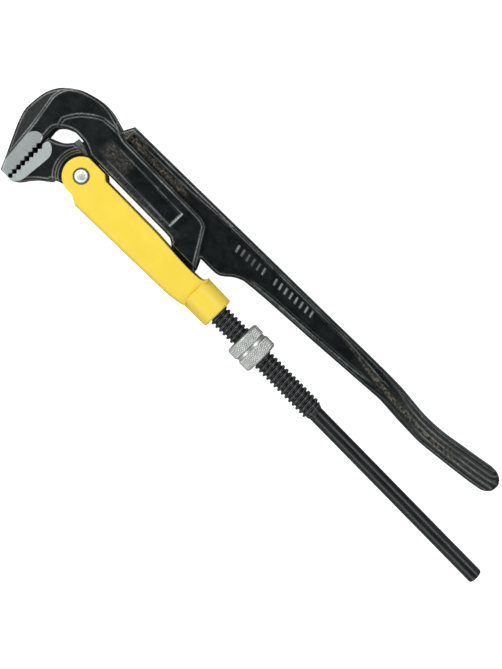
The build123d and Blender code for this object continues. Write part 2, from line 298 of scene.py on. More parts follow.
class Forging:
    """A part made between two dies: an outline at the parting plane and a height on each side."""

    def __init__(self, edges, holes=(), creases=(), lines=(), grids=()):
        """edges are (line, draft) pairs; creases are kept as edges; lines and grids add points."""
        self.outline = closed(*[line for line, _ in edges])
        draft = np.concatenate([np.full(len(line) - 1, amount) for line, amount in edges])[:, None]
        inward = -outward(self.outline)
        self.top_loop = self.outline + inward * draft
        self.holes = list(holes)
        scale = np.where(draft > 0, 1.0, 0.35)
        rings = []
        for depth in RING_DEPTHS:
            ring = self.top_loop + inward * scale * depth
            rings.append(ring[gap_to(ring, self.top_loop) > 0.8 * scale.ravel() * depth])
        whole = hex_grid(self.outline.min(0), self.outline.max(0), GRID_STEP)
        loose = np.vstack([*lines, *rings, *grids, whole])
        loose = loose[inside(loose, self.top_loop)]
        loose = loose[gap_to(loose, self.top_loop) > 0.08]
        for hole in self.holes:
            loose = loose[~inside(loose, hole) & (gap_to(loose, hole) > 0.2)]
        for crease in creases:
            loose = loose[np.abs(offset(loose, crease)) > 0.08]
        fixed = [self.top_loop, *self.holes, *creases]
        self.points = np.vstack(fixed + [thin_out(loose, 0.2)])
        self.faces = self._triangles([len(part) for part in fixed], len(self.holes) + 1)

    def _triangles(self, sizes, loops):
        """Triangles inside the outline, with the loops and creases kept as edges."""
        edges, start, first = [], 0, None
        for number, size in enumerate(sizes):
            run = list(range(start, start + size))
            follow = run[1:] + run[:1] if number < loops else run[1:]
            edges += list(zip(run, follow))
            first = first or run
            start += size
        made = delaunay_2d_cdt([Vector(p) for p in self.points], edges, [first], 1, 1e-6)
        source = np.array([found[0] if found else 0 for found in made[3]])
        faces = source[np.array([face for face in made[2] if len(face) == 3])]
        middle = self.points[faces].mean(1)
        for hole in self.holes:
            faces = faces[~inside(middle, hole)]
            middle = self.points[faces].mean(1)
        a, b, c = (self.points[faces[:, k]] for k in range(3))
        turn = (b[:, 0] - a[:, 0]) * (c[:, 1] - a[:, 1]) - (b[:, 1] - a[:, 1]) * (c[:, 0] - a[:, 0])
        faces[turn < 0] = faces[turn < 0][:, ::-1]
        return faces

    def solid(self, top, bottom):
        """Points and faces of the closed solid with these half thicknesses on its two sides."""
        count = len(self.points)
        rim = np.arange(len(self.outline))
        points = np.vstack([
            np.column_stack([self.points, top]),
            np.column_stack([self.points, -bottom]),
            np.column_stack([self.outline, np.zeros(len(rim))]),
        ])
        after = np.roll(rim, -1)
        base, base_after = rim + 2 * count, after + 2 * count
        upper = np.column_stack([base, base_after, after, rim])
        lower = np.column_stack([rim + count, after + count, base_after, base])
        walls = np.vstack([upper, lower])
        if not anticlockwise(self.outline):
            walls = walls[:, ::-1]
        faces = self.faces.tolist() + (self.faces[:, ::-1] + count).tolist() + walls.tolist()
        start = len(rim)
        for hole in self.holes:
            ring = np.arange(start, start + len(hole))
            following = np.roll(ring, -1)
            faces += np.column_stack([ring, following, following + count, ring + count]).tolist()
            start += len(hole)
        return points, faces

    def both_sides(self, values):
        """A value for each point of the outline's inside, given to every vertex of the solid."""
        return np.concatenate([values, values, values[:len(self.outline)]])

    def material_index(self, faces, special):
        """1 for the faces whose middle is in the special region, on both sides."""
        middle = self.points[self.faces].mean(1)
        chosen = special(middle).astype(int)
        rest = np.zeros(len(faces) - 2 * len(chosen), int)
        return np.concatenate([chosen, chosen, rest])


# ---- main handle: hook jaw, shank, foot and long handle in one forging ----
HOOK_TIP = (-25.8, JAW_TIP_Y)
RIM_START = (-32.0, JAW_TIP_Y)
HEAD_STEP = (-1.6, 32.7)
HEAD_CORNER = (1.5, 38.7)
NECK_END = (76.9, 14.1)
HEEL = (59.4, 9.1)
SHANK_START = (-4.0, 10.45)
THROAT_END = (-27.6, -0.4)
FORGING_DRAFT = 0.3

HOOK_RIM = [RIM_START, (-33.2, -26.2), (-38.8, -15.0), (-42.3, -8.0), (-44.7, -2.5), (-46.2, 2.0),
            (-46.6, 6.5), (-45.6, 15.8), (-43.6, 21.3), (-40.6, 25.7), (-36.6, 29.2), (-31.6, 32.4),
            (-26.6, 34.2), (-21.7, 35.4), (-16.7, 35.9), (-11.7, 35.4), (-6.8, 34.1), HEAD_STEP]
HANDLE_TOP = [HEAD_CORNER, (42.5, 39.6), (90.4, 40.8), (150.1, 42.2), (180.0, 43.0), (200.4, 43.2),
              (211.8, 42.4), (222.3, 41.7), (234.7, 42.4), (247.3, 44.5), (257.7, 46.3), (266.9, 48.0)]
GRIP_END = [(266.9, 48.0), (270.8, 47.9), (274.0, 46.5), (275.9, 43.9), (276.3, 41.4),
            (275.7, 38.7), (274.2, 36.6), (271.6, 34.8)]
HANDLE_LOW = [(271.6, 34.8), (263.8, 33.3), (247.8, 31.1), (231.8, 29.2), (223.9, 29.0),
              (211.9, 29.3), (199.9, 29.9), (192.0, 29.5), (176.0, 28.2), (150.1, 26.2),
              (120.1, 24.1), (104.2, 22.6), (100.2, 21.7), (96.2, 19.6), (92.2, 16.2),
              (89.8, 14.8), (86.2, 14.2), NECK_END]
FOOT_SIDE = [NECK_END, (78.1, 11.7), (79.5, 8.7), (79.9, 5.6), (79.3, -2.0)]
SHANK_INSIDE = [HEEL, (57.3, 10.2), (54.0, 10.45), SHANK_START]
THROAT = [SHANK_START, (-8.0, 12.3), (-12.0, 13.4), (-17.9, 13.6), (-20.9, 12.8), (-23.9, 11.2),
          (-26.3, 9.3), (-27.6, 7.6), (-27.9, 5.3), (-27.5, 1.6), THROAT_END]

OUTER_RIDGE = smooth([(-32.4, -28.6), (-34.1, -17.9), (-36.0, -0.1), (-38.3, 13.8), (-39.1, 20.5),
                      (-36.3, 27.6), (-31.0, 33.0)], 0.8)
THROAT_RIDGE = smooth([(-26.6, 9.0), (-28.2, 12.4), (-28.0, 15.9), (-23.0, 23.1), (-15.1, 29.2),
                       (-10.6, 30.6), (-4.2, 31.0), (0.5, 30.6)], 0.8)
SHANK_BEND = smooth([(-4.6, 33.7), (-2.6, 32.6), (0.0, 30.8), (3.5, 29.9), (8.0, 29.8)], 0.4)
FOOT_BEND = smooth([(60.0, 29.6), (62.6, 29.4), (64.6, 28.7), (66.2, 27.7), (67.4, 26.2)], 0.4)
SHANK_EDGE = np.vstack([SHANK_BEND, straight([(8.8, 29.8), (59.4, 29.6)], 0.8), FOOT_BEND,
                        straight([(67.8, 25.5), (77.4, 10.0), (78.8, 8.4)], 0.8)])
RIB_LINE = np.array([(5.0, 36.3), (13.5, 36.4), (15.0, 34.9), (48.0, 36.0), (72.0, 37.9), (120.0, 38.9),
                     (165.0, 39.9), (192.0, 38.6)])
LOW_RIB_LINE = np.array([(192.0, 33.0), (176.0, 31.2), (150.0, 28.8), (120.0, 26.6), (100.0, 24.4)])
HOOK_PAD = smooth([(-31.0, -28.3), (-33.4, -23.2), (-34.3, -15.8), (-35.1, -8.0), (-35.2, -4.6),
                   (-34.3, -2.0), (-32.3, -0.1), (-29.9, 0.6), (-28.4, 0.2), (-27.7, -1.0)], 0.5)
PANEL = np.array([(0.4, 15.5), (53.2, 15.1), (52.9, 24.2), (0.5, 24.8)])
PANEL_DEPTH = 1.6
MARKS = [(87.0, 6), (114.0, 8)]  # where each row of raised bars starts, and its count
MARK_PITCH = 3.7
MARK_SLOPE = 0.07  # of the rows, and the lean of each bar
MARK_LEAN = 0.25
MARK_Y = 32.4
MARK_HALF = (0.55, 1.9)  # half width and half length of a bar
MARK_RISE = 0.42
HOOK_REAR_X = -20  # the hook's jaw lies beyond this
FOOT_X = 56  # the foot starts here
SHANK_REGION_X = 82  # the shank and the foot end before this
DUST_X = (156.0, 174.0, 189.0, 205.0, 229.0, 246.0, 262.0)  # a dusty streak down the handle
DUST_Y = (39.6, 38.2, 36.2, 34.8, 34.8, 35.3, 37.0)
DUST_WIDTH = (0.5, 1.1, 1.5, 1.1, 0.8, 0.6, 0.3)


def within(points, corners):
    """Distance inside a convex loop given anticlockwise, negative outside."""
    depth = np.full(len(points), 1e9)
    for a, b in zip(corners, np.roll(corners, -1, 0)):
        along = (b - a) / np.linalg.norm(b - a)
        depth = np.minimum(depth, along[0] * (points[:, 1] - a[1]) - along[1] * (points[:, 0] - a[0]))
    return depth


def raised_bars(points):
    """Height of the plain raised bars on the web, from 0 to 1."""
    x, y = points.T
    result = np.zeros(len(points))
    level = y - MARK_Y - MARK_SLOPE * (x - MARKS[0][0])
    for start, count in MARKS:
        for number in range(count):
            centre = start + number * MARK_PITCH
            across = band(x + MARK_LEAN * level, centre - MARK_HALF[0], centre + MARK_HALF[0], 0.25)
            result = np.maximum(result, across * band(level, -MARK_HALF[1], MARK_HALF[1], 0.25))
    return result


def line_at(distance, place, width=0.26):
    """1 along a line at this distance from another one, fading over its width."""
    return np.exp(-((distance - place) / width) ** 2)


def handle_surface(points, edge_line, bite_line, grip_lines):
    """Half thickness of the main handle, and where it is rough, dusty, ground, and worn bright with painted
    highlights.
    """
    x, y = points.T
    # hook and shank, down to the tongue of the foot
    rim = offset(points, OUTER_RIDGE)
    hook = HOOK_TOP - 1.1 * np.clip(rim / 1.3, 0, 1) - 0.16 * np.maximum(rim - 1.3, 0)
    panel = within(points, PANEL)
    start_fade = ramp(x, 0.5, 16.0)
    shank = SHANK_TOP - PANEL_DEPTH * ramp(panel, 0.0, 1.0) * start_fade
    step = offset(points, THROAT_RIDGE)
    bar = shank + (hook - shank) * np.clip((step + 1.5) / 1.5, 0, 1) * (1 - ramp(x, -2.5, 1.5))
    pad = ramp(-offset(points, HOOK_PAD), -PAD_RISE, 0.0) * (y < 2.0) * (x < HOOK_REAR_X)
    bar = bar + (PAD_TOP - bar) * pad
    bar = bar + (TONGUE_TOP - bar) * ramp(-y, -8.95, -8.5) * (x > FOOT_X)

    # web of the long handle between its ribs, with the raised bars
    upper = offset(points, RIB_LINE)
    lower = offset(points, LOW_RIB_LINE)
    grip = ramp(x, 158.0, 200.0)
    floor = WEB_TOP + (RIB_TOP - WEB_TOP) * grip ** 1.5
    high = np.maximum(ramp(upper, -1.3, 0.0), ramp(lower, -1.6, 0.3) * ramp(x, 99, 116) * 0.5)
    high = np.maximum(high, 1 - ramp(x, 3.4, 4.9))
    web = floor + (RIB_TOP - floor) * high
    bars = raised_bars(points)
    web = web + MARK_RISE * bars

    # slope from the shank down to the web
    outside = offset(points, SHANK_EDGE)
    near_shank = (x < SHANK_REGION_X).astype(float)
    bar = bar - 0.9 * np.clip((outside + 1.3) / 1.3, 0, 1.5) * near_shank
    height = bar + (web - bar) * np.where(near_shank > 0, ramp(outside, 0.1, 0.9), 1.0)

    # grooves along the grip
    top_line, low_line = grip_lines
    outer, inner = np.abs(offset(points, top_line)), np.abs(offset(points, low_line))
    share = outer / np.maximum(outer + inner, 1e-6)
    crest = 0.5 - 0.5 * np.cos(2 * math.pi * 5 * share)
    begins = ramp(x, 190 + 26 * share, 208 + 40 * share) * band(share, 0.1, 0.9, 0.06)
    height = height - 0.5 * (1 - crest ** 1.2) * begins

    # broken edges
    depth = np.abs(offset(points, edge_line))
    on_grip = ramp(x, 178, 206)
    height = height - (1 - on_grip) * bevel(depth, 1.25, 1.0) - on_grip * rounding(depth, 3.2)
    height = height - rounding(np.abs(offset(points, bite_line)), TOOTH_ROUND)

    # rough and dusty regions, and ridges worn bright, partly real wear and partly painted highlight lines
    # along edges, steps, ribs and bars
    facet = ramp(rim, 0.0, 0.8) * (step > 0)
    recess = ramp(outside, 0.8, 2.0) * ramp(-upper, 0.2, 1.2) * band(x, 2, 46, 5) * (y > 28)
    head = band(x, -4, 5, 0.8) * ramp(outside, 0.4, 1.2)
    speckle = band(x, -1, 16, 3) * band(y, 16, 25, 1.0)
    strip = band(y, 9, 15.5, 0.6) * band(x, 4, 60, 3)
    streak = np.abs(y - np.interp(x, DUST_X, DUST_Y)) / np.interp(x, DUST_X, DUST_WIDTH)
    taper = band(x, 160, 258, 8) * (1 - ramp(streak, 0.4, 1.3))
    grip_low = 0.35 * band(x, 200, 262, 12) * band(share, 0.30, 0.75, 0.08)
    rough = np.clip(0.4 * facet + recess + head + 0.8 * speckle + 0.45 * strip + 0.8 * taper + grip_low, 0, 1)
    dust = np.clip(0.04 * facet + recess + 0.5 * head + 0.35 * speckle + 0.2 * strip
                   + 0.9 * taper + 0.8 * grip_low, 0, 1)
    by_hook = ramp(-x, -1.0, 6.0)
    worn = np.maximum.reduce([
        0.95 * np.maximum(line_at(rim, 0.0), line_at(rim, 1.35)) * (y < 32) * (step > 0) * (x < HOOK_REAR_X),
        0.95 * np.maximum(line_at(step, 0.0), 0.8 * line_at(step, -1.5)) * by_hook,
        0.80 * line_at(depth, 1.3) * (1 - on_grip) * (x < 77),
        0.85 * line_at(outside, -1.3) * near_shank,
        0.60 * line_at(outside, 0.05) * near_shank * ramp(x, 60, 66),
        0.16 * line_at(panel, 0.0) * start_fade,
        # painted highlight on the steep end wall of the panel's recess, weighted to come out bright all along
        # it
        3.00 * line_at(x, PANEL[1, 0] - 0.4, 0.45) * (panel > -0.3),
        0.45 * line_at(upper, 0.0) * band(x, 10, 150, 6),
        0.80 * bars,
        (0.12 + 0.25 * ramp(x, 225, 272)) * crest ** 6 * begins,
    ])
    return height, rough * (1 - pad), dust * (1 - pad), worn * (1 - pad), pad


def weathered(points, height, rough, seed):
    """A forged skin: soft waves all over, lumps and small pits where it is rough."""
    waves = 0.05 * fractal(points, 9.0, seed, 2)
    lumps = fractal(points, 2.2, seed + 5.0, 4)
    pits = np.maximum(fractal(points, 1.1, seed + 9.0, 2) - 0.45, 0)
    return height + waves + rough * (0.13 * lumps - 0.35 * pits)


def skinned(points, height, rough, ground, seeds):
    """Half thicknesses of the two sides, each with its own forged skin where it isn't ground."""
    halves = [np.clip(weathered(points, height, rough, seed), LEAST_HALF, PAD_TOP) for seed in seeds]
    return [np.where(ground > 0.5, height, half) for half in halves]


def build_main_handle(black, ground):
    rim = smooth(HOOK_RIM)
    top = smooth(HANDLE_TOP)
    low = smooth(HANDLE_LOW)
    foot = straight(FOOT_SIDE)
    eye = arc((HINGE_X, 0), EYE_R, -19, -146)
    stem = straight([eye[-1], (61.7, 6.6), HEEL])
    throat = smooth(THROAT)
    bite = teeth(HOOK_TOOTH_X, -TOOTH_DEPTH)
    neck = straight([THROAT_END, bite[0]])
    tip = straight([bite[-1], HOOK_TIP])
    nose = straight([HOOK_TIP, RIM_START])
    plain = [(nose, 0.15), (rim, FORGING_DRAFT), (straight([HEAD_STEP, HEAD_CORNER]), FORGING_DRAFT),
             (top, FORGING_DRAFT), (smooth(GRIP_END), FORGING_DRAFT), (low, FORGING_DRAFT),
             (foot, 0.05), (eye, 0.05), (stem, 0.05), (straight(SHANK_INSIDE), FORGING_DRAFT),
             (throat, FORGING_DRAFT)]
    tooth_side = [(neck, 0.0), (bite, 0.0), (tip, 0.0)]
    hole = circle((HINGE_X, 0), PIN_HOLE_R)
    lines = [
        ruled(OUTER_RIDGE, (-0.3, -0.1, 0.1, 0.5, 0.9, 1.1, 1.3)),
        ruled(THROAT_RIDGE, (-1.6, -1.4, -1.2, -0.6, 0.0, 0.1, 0.3)),
        ruled(SHANK_EDGE, (-1.5, -1.3, -1.1, -0.6, 0.1, 0.5, 0.9)), ruled(HOOK_PAD, (0.17,)),
        ruled(resample(RIB_LINE, 0.7), (-1.4, -1.1, -0.7, -0.3, 0.0, 0.3)),
        ruled(resample(LOW_RIB_LINE, 0.8), (-1.7, -1.2, -0.7, -0.2, 0.3)),
    ]
    for a, b in zip(PANEL, np.roll(PANEL, -1, 0)):
        lines.append(ruled(resample([a, b], 0.6), (-0.1, 0.3, 0.7, 1.15)))
    fine_marks = hex_grid((84, 31), (146, 38), 0.34)
    fine_grip = hex_grid((186, 28), (277, 49), 0.42)
    forging = Forging(plain + tooth_side, [hole], [HOOK_PAD], lines, [fine_marks, fine_grip])
    points = forging.points
    plain_count = sum(len(line) - 1 for line, _ in plain)
    edge_line = forging.top_loop[:plain_count + 1]
    bite_line = np.vstack([forging.top_loop[plain_count:], forging.top_loop[:1]])
    height, rough, dust, worn, polish = handle_surface(points, edge_line, bite_line, (top, low))
    verts, faces = forging.solid(*skinned(points, height, rough, polish, HANDLE_SEEDS))
    verts = clamp_to(verts, "main_handle")

    def on_pad(middle):
        return (offset(middle, HOOK_PAD) < 0) & (middle[:, 1] < 1.2) & (middle[:, 0] < -25)

    index = forging.material_index(faces, on_pad)
    fields = {"rough": forging.both_sides(rough), "dust": forging.both_sides(dust),
              "worn": forging.both_sides(worn)}
    piece = make_object("main_handle_forging", verts, faces, "handle", "forged_black",
                        [black, ground], index, SHARP_ANGLE, fields)
    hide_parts("main_handle")
    return piece


# ---- lower jaw ----
JAW_PAD = smooth([(-22.4, -28.2), (-20.4, -25.6), (-19.4, -21.8), (-18.6, -13.0), (-18.1, -6.1),
                  (-18.8, -3.0), (-20.6, -0.8), (-22.4, 0.3), (-23.9, 0.5), (-25.0, -0.3),
                  (-25.4, -2.0)], 0.5)
JAW_BACK = [(-14.6, 10.1), (-15.4, 9.1), (-17.3, 6.8), (-20.0, 4.8), (-22.5, 3.5), (-26.0, 2.1)]
JAW_NOSE = [(-25.35, -28.5), (-23.4, -28.45), (-22.1, -27.8), (-19.8, -24.9)]
JAW_CORNER = (-9.2, -14.6)
SLIDE_END = (8.0, 9.2)
BOSS_R = 9.9
BOSS_FLAT_R = 12.4  # flat between the plates of the bracket
JAW_STEPS = ((15.3, 0.85), (13.9, 0.8), (12.6, 0.8))  # radius about the rivet, and drop inside it


def build_lower_jaw(black, ground):
    bite = teeth(LOWER_TOOTH_X, TOOTH_DEPTH)[::-1]
    boss = arc(PIVOT, BOSS_R, -100, 42)
    edges = [
        (straight([bite[-1], (-25.9, -0.6), (-26.0, 2.1)]), 0.0),
        (smooth(JAW_BACK[::-1]), FORGING_DRAFT),
        (straight([JAW_BACK[0], (1.0, 10.1), SLIDE_END, boss[-1]]), 0.05),
        (boss[::-1], 0.05),
        (smooth([boss[0], (-5.0, -11.0), (-8.4, -12.6), JAW_CORNER]), FORGING_DRAFT),
        (smooth([JAW_CORNER, (-15.0, -19.3), JAW_NOSE[-1]]), FORGING_DRAFT),
        (smooth(JAW_NOSE[::-1]), 0.15),
        (straight([JAW_NOSE[0], bite[0]]), 0.0),
        (bite, 0.0),
    ]
    hole = circle(PIVOT, RIVET_HOLE_R)
    rings = [arc(PIVOT, radius + shift, 100, 260, 0.5) for radius, _ in JAW_STEPS
             for shift in (-0.6, -0.35, -0.1, 0.15)]
    jaw = Forging(edges, [hole], [JAW_PAD], [*rings, ruled(JAW_PAD, (-0.17,))])
    points = jaw.points
    distance = np.linalg.norm(points - PIVOT, axis=1)
    height = np.full(len(points), JAW_TOP)
    for radius, drop in JAW_STEPS:
        height -= drop * ramp(radius - distance, -0.1, 0.6)
    height = np.maximum(height, BOSS_TOP)
    pad = ramp(offset(points, JAW_PAD), -PAD_RISE, 0.0) * (distance > 16)
    pad = np.where(pad_side(points), pad, 0)
    height += (PAD_TOP - height) * pad
    sizes = [len(line) - 1 for line, _ in edges]
    first_plain, last_plain = sizes[0], sum(sizes[:7])
    edge_line = jaw.top_loop[first_plain:last_plain + 1]
    bite_line = np.vstack([jaw.top_loop[last_plain:], jaw.top_loop[:first_plain + 1]])
    height -= bevel(np.abs(offset(points, edge_line)), 1.35, 1.0) * (1 - pad)
    height -= rounding(np.abs(offset(points, edge_line)), 0.3) * pad
    height -= rounding(np.abs(offset(points, bite_line)), TOOTH_ROUND)
    rough = 0.1 * (1 - pad) * (distance > 12)
    halves = skinned(points, height, rough, pad, JAW_SEEDS)
    halves = [np.where(distance < BOSS_FLAT_R, np.minimum(half, BOSS_TOP), half) for half in halves]
    verts, faces = jaw.solid(*halves)
    index = jaw.material_index(faces, lambda middle: pad_side(middle) & (offset(middle, JAW_PAD) > 0))
    # worn lines along the bevel and the steps round the rivet, partly wear and partly painted highlights
    worn = 0.8 * line_at(np.abs(offset(points, edge_line)), 1.35) * (distance > 13)
    for radius, _ in JAW_STEPS:
        worn = np.maximum(worn, 0.7 * line_at(distance, radius + 0.1, 0.25))
    fields = [jaw.both_sides(value) for value in (rough, 0.1 * rough, worn * (1 - pad))]
    verts, faces = join((verts, faces), guide_lug(1), guide_lug(-1))
    index = np.r_[index, np.zeros(len(faces) - len(index), int)]
    fields = [np.r_[field, np.zeros(len(verts) - len(field))] for field in fields]
    verts = clamp_to(verts, "lower_jaw")
    piece = make_object("lower_jaw_forging", verts, faces, "lower_jaw", "forged_black",
                        [black, ground], index, SHARP_ANGLE, dict(zip(("rough", "dust", "worn"), fields)))
    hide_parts("lower_jaw")
    return piece


def pad_side(points):
    """The part of the lower jaw that the ground flank can cover."""
    x, y = points.T
    return (x < -17.0) & (y < 1.6)


LUG_FOOT = np.array([(-14.6, 9.3), (-14.0, 13.1), (-12.6, 13.4), (-8.8, 12.2), (-4.4, 10.4), (-4.8, 9.3)])
LUG_FLAT = np.array([(-13.8, 10.1), (-13.4, 12.9), (-12.6, 13.1), (-8.9, 11.9), (-5.2, 10.4), (-6.4, 10.1)])
LUG_HEIGHTS = (7.2, 8.0, PAD_TOP)


def guide_lug(side):
    """A lug that laps over the flank of the shank, a small slab with a sloping foot."""
    shapes = zip((LUG_FOOT, LUG_FOOT, LUG_FLAT), LUG_HEIGHTS)
    rings = [np.column_stack([shape, np.full(len(shape), side * height)]) for shape, height in shapes]
    return loft(rings, side < 0)


def ring_walls(rings, count):
    """Quads that join this many rings of count points, one after another."""
    at = np.arange(count)
    after = np.roll(at, -1)
    quads = np.column_stack([at, after, after + count, at + count])
    return [quad for ring in range(rings - 1) for quad in (quads + ring * count).tolist()]


def ring_caps(rings, count):
    """One face over the first ring and one over the last."""
    first = list(range(count))
    return [first[::-1], [corner + (rings - 1) * count for corner in first]]


def loft(rings, flipped=False):
    """A closed solid through rings of equally many points, capped at both ends."""
    size = len(rings), len(rings[0])
    faces = ring_walls(*size) + ring_caps(*size)
    if anticlockwise(rings[0][:, :2]) == flipped:
        faces = [face[::-1] for face in faces]
    return np.vstack(rings), faces


# ---- turned pieces ----
def tube(x, radius, capped=True):
    """A surface round the spindle axis; x and radius are grids of (stations, around)."""
    angle = np.linspace(0, 2 * math.pi, radius.shape[1], endpoint=False)
    points = np.stack([x, radius * np.cos(angle), radius * np.sin(angle)], -1).reshape(-1, 3)
    return points, ring_walls(*radius.shape) + (ring_caps(*radius.shape) if capped else [])


ROD_R = 4.3
ROD_END_X = 303.4
CREST_R = 6.15
ROOT_R = 4.9
THREAD_X = (85.2, 178.6)
AROUND = 56
STATIONS_PER_PITCH = 14


def turned_grid(x, around):
    """Grids of the places along the spindle axis and of the angles round it."""
    return np.meshgrid(x, np.linspace(0, 2 * math.pi, around, endpoint=False), indexing="ij")


def thread_radius(x, angle):
    """Radius of a right-hand trapezoid thread."""
    phase = np.mod(x / THREAD_PITCH - angle / (2 * math.pi), 1)
    rise = ramp(phase, 0.06, 0.32) * (1 - ramp(phase, 0.60, 0.86))
    fade = 1 - ramp(x, 176.4, THREAD_X[1])
    worn = 0.06 * np.sin(3 * angle + x / 7.0) * rise
    return ROOT_R + (CREST_R - ROOT_R - worn.clip(0)) * rise * fade


def rod_profile():
    """Stations and radii of the plain lever rod, with its rounded free end."""
    x = [THREAD_X[1] + 0.1, THREAD_X[1] + 0.5, THREAD_X[1] + 1.3]
    radius = [ROOT_R, 4.75, ROD_R]
    x += list(np.arange(THREAD_X[1] + 3, ROD_END_X - 3, 1.5))
    radius += [ROD_R] * (len(x) - 3)
    for t in np.linspace(0, math.pi / 2, 7):
        x.append(ROD_END_X - 1.0 + 0.85 * math.sin(t))
        radius.append(ROD_R - 1.0 + 1.0 * math.cos(t))
    x += [ROD_END_X - 0.03, ROD_END_X]
    radius += [2.0, 0.8]
    return np.array(x), np.array(radius)


FORK_TOP = 6.0
FORK_GAP = 2.65
FORK_END_X = 86.6
FORK_SLOT_X = 82.6


def fork_ear(side):
    """One ear of the fork that straddles the tongue of the foot."""
    nose = arc((HINGE_X, 0), EYE_R, 90, 270, 0.7)
    corners = (FORK_END_X, -EYE_R), (FORK_END_X, EYE_R)
    outline = closed(straight([*corners, nose[0]], 2.0), nose, straight([nose[-1], corners[0]], 2.0))
    inset = outline - outward(outline) * 0.5
    levels = [(outline, FORK_GAP), (outline, FORK_TOP - 0.5), (inset, FORK_TOP)]
    rings = [np.column_stack([line, np.full(len(line), side * z)]) for line, z in levels]
    return loft(rings, side < 0)


def fork_root():
    """Solid stretch between the two ears and the thread."""
    block = np.array([(FORK_SLOT_X, -EYE_R), (FORK_END_X, -EYE_R), (FORK_END_X, EYE_R), (FORK_SLOT_X, EYE_R)])
    rings = [np.column_stack([block, np.full(4, z)]) for z in (-FORK_GAP, FORK_GAP)]
    return loft(rings)


def join(*solids):
    """Points and faces of several closed solids as one mesh."""
    points, faces = [], []
    for solid_points, solid_faces in solids:
        start = sum(len(p) for p in points)
        faces += [[corner + start for corner in face] for face in solid_faces]
        points.append(np.asarray(solid_points))
    return np.vstack(points), faces


def build_spindle(material):
    stations = int((THREAD_X[1] - THREAD_X[0]) / THREAD_PITCH * STATIONS_PER_PITCH)
    grid_x, grid_angle = turned_grid(np.linspace(*THREAD_X, stations), AROUND)
    rod_x, rod_r = rod_profile()
    ones = np.ones((1, AROUND))
    all_x = np.vstack([grid_x, rod_x[:, None] * ones])
    radius = np.vstack([thread_radius(grid_x, grid_angle), rod_r[:, None] * ones])
    solids = join(tube(all_x, radius), fork_ear(1), fork_ear(-1), fork_root())
    piece = make_object("spindle_turned", *solids, "spindle", "spindle_black", [material], sharp=50)
    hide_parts("spindle")
    return piece


NUT_X = (122.4, 138.2)
NUT_R = 10.45
NUT_BORE = 6.28
NUT_GROOVE = (129.0, 131.0)
KNURL_COUNT = 48
KNURL_DEPTH = 0.42
KNURL_PITCH = 1.9


def build_nut(material):
    """Round nut with two diamond-knurled bands and a smooth groove between them."""
    low, high = NUT_X
    band_x = np.arange(low + 1.0, high - 0.99, 0.2)
    end = [(0.8, NUT_BORE), (0.4, NUT_BORE + 0.4), (0, NUT_BORE + 0.8), (0, 8.3),
           (0, NUT_R - 1.05), (0.1, NUT_R - 0.85), (0.9, NUT_R - 0.1)]
    section = [(low + x, r) for x, r in end] + [(x, NUT_R) for x in band_x]
    section += [(high - x, r) for x, r in reversed(end)]
    x, radius = np.array(section).T
    around = KNURL_COUNT * 8
    grid_x, grid_angle = turned_grid(x, around)
    turn = grid_angle * KNURL_COUNT / (2 * math.pi)
    left = np.abs(np.mod(turn + grid_x / KNURL_PITCH, 1) - 0.5) * 2
    right = np.abs(np.mod(turn - grid_x / KNURL_PITCH, 1) - 0.5) * 2
    diamond = 1 - np.minimum(1.25 * np.minimum(1 - left, 1 - right), 1)
    groove = band(grid_x, NUT_GROOVE[0] - 0.1, NUT_GROOVE[1] + 0.1, 0.3)
    bands = band(grid_x, low + 1.0, high - 1.0, 0.25) * (1 - groove)
    grid_r = radius[:, None] - KNURL_DEPTH * diamond * bands - 0.85 * groove
    points, faces = tube(grid_x, grid_r, capped=False)
    last = (len(section) - 1) * around
    at = np.arange(around)
    after = np.roll(at, -1)
    faces += np.column_stack([at + last, after + last, after, at]).tolist()
    piece = make_object("adjusting_nut_knurled", points, faces, "nut", "nut_steel", [material], sharp=55)
    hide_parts("adjusting_nut")
    return piece


RIVET_SECTION = [(4.0, 0.0), (4.0, 8.7), (4.5, 8.85), (4.55, 9.05), (4.4, 9.3), (4.1, 9.35), (3.85, 9.15),
                 (3.7, 9.2), (3.6, 9.5), (3.2, 9.85), (2.4, 10.2), (1.3, 10.4), (0.4, 10.46)]


def build_rivet(material):
    """Rivet with a domed head on each side, each with a pressed ring round its dome."""
    half = np.array(RIVET_SECTION)
    profile = np.vstack([half[:0:-1] * (1, -1), half])
    profile = resample(profile, 0.16)
    around = 72
    points, faces = tube(np.zeros((len(profile), around)), profile[:, :1] * np.ones((1, around)))
    points[:, 0] = PIVOT[0] + points[:, 1]
    points[:, 1] = PIVOT[1] + points[:, 2]
    points[:, 2] = np.repeat(profile[:, 1], around)
    # painted shade: a dark ring round the dome, between its pressed ring and its rim
    painted_ring_shade = np.repeat(ramp(profile[:, 0], 3.5, 3.8), around)
    piece = make_object("jaw_rivet_domed", points, faces, "bracket", "rivet_zinc", [material],
                        sharp=50, fields={"low": painted_ring_shade})
    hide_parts("jaw_rivet")
    return piece


